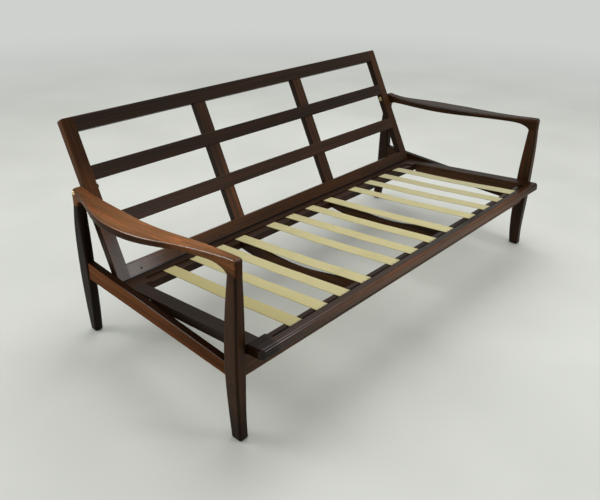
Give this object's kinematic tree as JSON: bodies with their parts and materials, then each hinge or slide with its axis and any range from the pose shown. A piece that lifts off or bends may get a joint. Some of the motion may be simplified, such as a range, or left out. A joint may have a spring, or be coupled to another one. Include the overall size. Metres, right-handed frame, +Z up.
{
  "type": "three-seater sofa",
  "caption": "Bare hardwood sofa frame with sculpted paddle arms, a pivoting ladder back and a sloping seat of pale elastic webbing, standing on tapered legs",
  "frame": {"origin": "on the floor, under the middle of the overall box", "axes": "+X is the right end seen from the front, +Y is the back, +Z is up"},
  "size_m": [1.88, 0.9302, 0.7493],
  "materials": {
    "dark_wood": "dark stained hardwood, satin oil finish with fine reddish grain",
    "arm_wood": "warm brown hardwood, satin oil finish polished by hands",
    "rail_wood": "reddish brown hardwood, satin oil finish",
    "webbing": "pale straw-coloured elastic webbing with a fine cross weave",
    "brass": "polished brass",
    "steel": "plain bright steel",
    "stud": "dark browned metal"
  },
  "bodies": {
    "frame": {"armrest_left": "arm_wood", "armrest_right": "arm_wood", "front_cross_rail": "dark_wood", "front_leg_left": "dark_wood", "front_leg_right": "dark_wood", "pivot_bolt_left": "brass", "pivot_bolt_right": "brass", "pivot_nut_left": "brass", "pivot_nut_right": "brass", "pivot_washers_left": "brass", "pivot_washers_right": "brass", "rear_leg_left": "dark_wood", "rear_leg_right": "dark_wood", "seat_bearer_left": "dark_wood", "seat_bearer_right": "dark_wood", "seat_front_rail": "dark_wood", "seat_rear_rail": "dark_wood", "seat_screws_left": "steel", "seat_screws_right": "steel", "seat_side_rail_left": "dark_wood", "seat_side_rail_right": "dark_wood", "seat_spacers_left": "steel", "seat_spacers_right": "steel", "side_rail_left": "rail_wood", "side_rail_right": "rail_wood", "staples_front": "steel", "staples_rear": "steel", "webbing_01": "webbing", "webbing_02": "webbing", "webbing_03": "webbing", "webbing_04": "webbing", "webbing_05": "webbing", "webbing_06": "webbing", "webbing_07": "webbing", "webbing_08": "webbing", "webbing_09": "webbing", "webbing_10": "webbing", "webbing_11": "webbing", "webbing_12": "webbing"},
    "back": {"back_bottom_rail": "dark_wood", "back_lower_rail": "dark_wood", "back_muntin_left": "dark_wood", "back_muntin_right": "dark_wood", "back_stile_left": "dark_wood", "back_stile_right": "dark_wood", "back_top_rail": "dark_wood", "back_upper_rail": "dark_wood", "cushion_studs": "stud"}
  },
  "joints": [
    {"name": "back_tilt", "type": "hinge", "parent": "frame", "child": "back", "pos_m": [0, 0.3455, 0.534], "axis": [1, 0, 0], "range_deg": [0, 60]}
  ]
}
